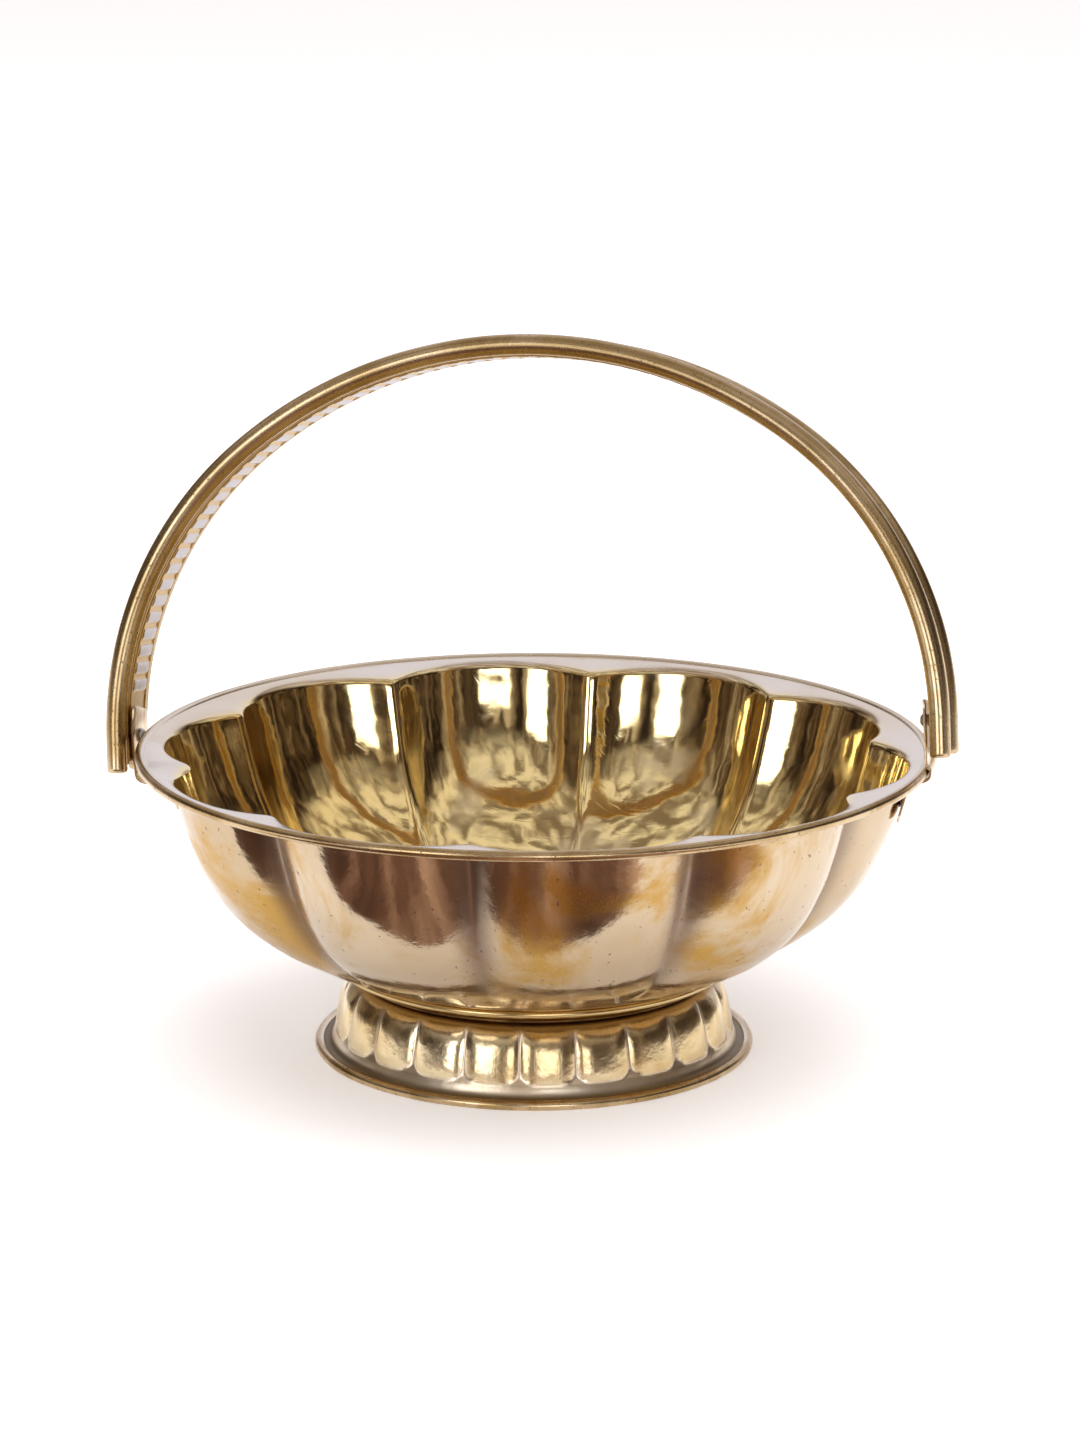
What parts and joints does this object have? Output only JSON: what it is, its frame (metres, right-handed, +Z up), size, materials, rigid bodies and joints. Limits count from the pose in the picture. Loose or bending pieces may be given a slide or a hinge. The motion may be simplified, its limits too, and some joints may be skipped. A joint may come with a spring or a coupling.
{
  "type": "footed brass basket bowl",
  "caption": "Lobed brass bowl on a gadrooned foot, with a ribbed bail handle that swings on rivets in two hooked brackets.",
  "frame": {"origin": "centre of the base ring, on the surface the bowl stands on", "axes": "+Z up; +X along the hinge side to side, towards the higher bracket; -Y is the front"},
  "size_m": [0.2988, 0.279, 0.2522],
  "materials": {
    "bowl_brass": "polished inside, satin and lightly tarnished outside",
    "trim_brass": "satin, brushed along its length",
    "bracket_brass": "pale satin",
    "solder": "dull",
    "rivet_metal": "worn satin"
  },
  "bodies": {
    "bowl": {"bowl_shell": "bowl_brass", "rim_bead": "trim_brass", "neck_collar": "trim_brass", "foot_shell": "bowl_brass", "foot_bead": "trim_brass", "bracket_left": "bracket_brass", "bracket_right": "bracket_brass", "solder_left": "solder", "solder_right": "solder", "rivet_left": "rivet_metal", "rivet_right": "rivet_metal"},
    "handle": {"handle_strip": "bracket_brass", "handle_roll_front": "trim_brass", "handle_roll_back": "trim_brass"}
  },
  "joints": [
    {"name": "handle_swing", "type": "hinge", "parent": "bowl", "child": "handle", "pos_m": [-0.00175, 0, 0.115], "axis": [0.9979, 0, 0.0645], "range_deg": [-66, 89]}
  ]
}
